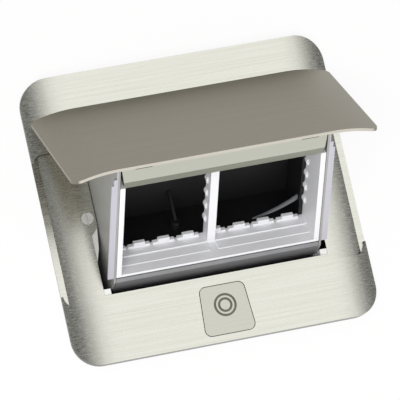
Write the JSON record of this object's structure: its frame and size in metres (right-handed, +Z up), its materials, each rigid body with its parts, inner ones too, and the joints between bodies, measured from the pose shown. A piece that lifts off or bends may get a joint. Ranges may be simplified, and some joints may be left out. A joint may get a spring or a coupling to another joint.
{
  "type": "pop-up floor socket box",
  "caption": "Floor box with a brushed metal trim frame and a sprung cradle that tips up from the floor, lifting a cambered lid and a panel with open module bays; a push button releases it.",
  "frame": {"origin": "middle of the back box's base, on its underside, straight below the centre of the trim frame; the finished floor is 89.2 mm above it", "axes": "+X to the right seen from the button's side, +Y to the rear towards the hinge, +Z up, from the base to the top of the raised cradle"},
  "size_m": [0.15, 0.138, 0.1594],
  "materials": {
    "brushed_nickel": "brushed nickel-plated zinc, satin, brushed from side to side",
    "taupe_nickel": "satin nickel lid, darker because it leans away from the light",
    "satin_nickel": "satin nickel",
    "nickel_screw": "nickel-plated screw",
    "grey_steel": "zinc-plated sheet steel",
    "dark_steel": "dark satin sheet steel",
    "galvanised": "galvanised sheet steel",
    "steel": "bright steel",
    "spring_steel": "oiled spring steel",
    "white_plastic": "white moulded plastic, half gloss",
    "black_plastic": "black moulded plastic, matte",
    "grey_plastic": "grey moulded strap",
    "white_nylon": "white nylon",
    "grey_nylon": "natural nylon",
    "rubber": "black rubber"
  },
  "bodies": {
    "base": {"trim_frame": "brushed_nickel", "floor_gasket": "rubber", "frame_screws": "nickel_screw", "back_box": "galvanised", "conduit_grommets": "rubber", "hinge_bracket_left": "galvanised", "hinge_bracket_right": "galvanised", "hinge_pin": "steel", "pin_clips": "steel", "torsion_spring_left": "spring_steel", "torsion_spring_right": "spring_steel", "buffer_left": "white_nylon", "buffer_right": "white_nylon", "guide_left": "grey_nylon", "guide_right": "grey_nylon", "latch_housing": "black_plastic", "housing_screws": "steel", "button_spring": "spring_steel"},
    "cradle": {"lid": "taupe_nickel", "lid_stiffener": "galvanised", "lid_pads": "rubber", "side_plate_left": "grey_steel", "side_plate_right": "grey_steel", "hinge_bushes": "white_nylon", "drum_skin": "dark_steel", "module_frame": "white_plastic", "back_shell": "black_plastic", "trim_bar": "satin_nickel", "cable_tie": "black_plastic", "cable_strap": "grey_plastic"},
    "button": {"button": "brushed_nickel"},
    "bolt": {"latch_bolt": "steel"}
  },
  "joints": [
    {"name": "cradle_hinge", "type": "hinge", "parent": "base", "child": "cradle", "pos_m": [0, 0.0476, 0.0797], "axis": [1, 0, 0], "range_deg": [0, 54], "stiffness_Nm_per_rad": 0.6, "springref_deg": -40.11},
    {"name": "button_press", "type": "slide", "parent": "base", "child": "button", "axis": [0, 0, -1], "range_m": [0, 0.0015], "stiffness_N_per_m": 400, "springref_m": -0.002, "deforming": ["button_spring"]},
    {"name": "bolt_slide", "type": "slide", "parent": "base", "child": "bolt", "axis": [0, -1, 0], "range_m": [0, 0.0015]}
  ],
  "couplings": [
    {"joint": "bolt_slide", "follows": "button_press", "ratio": 1}
  ]
}
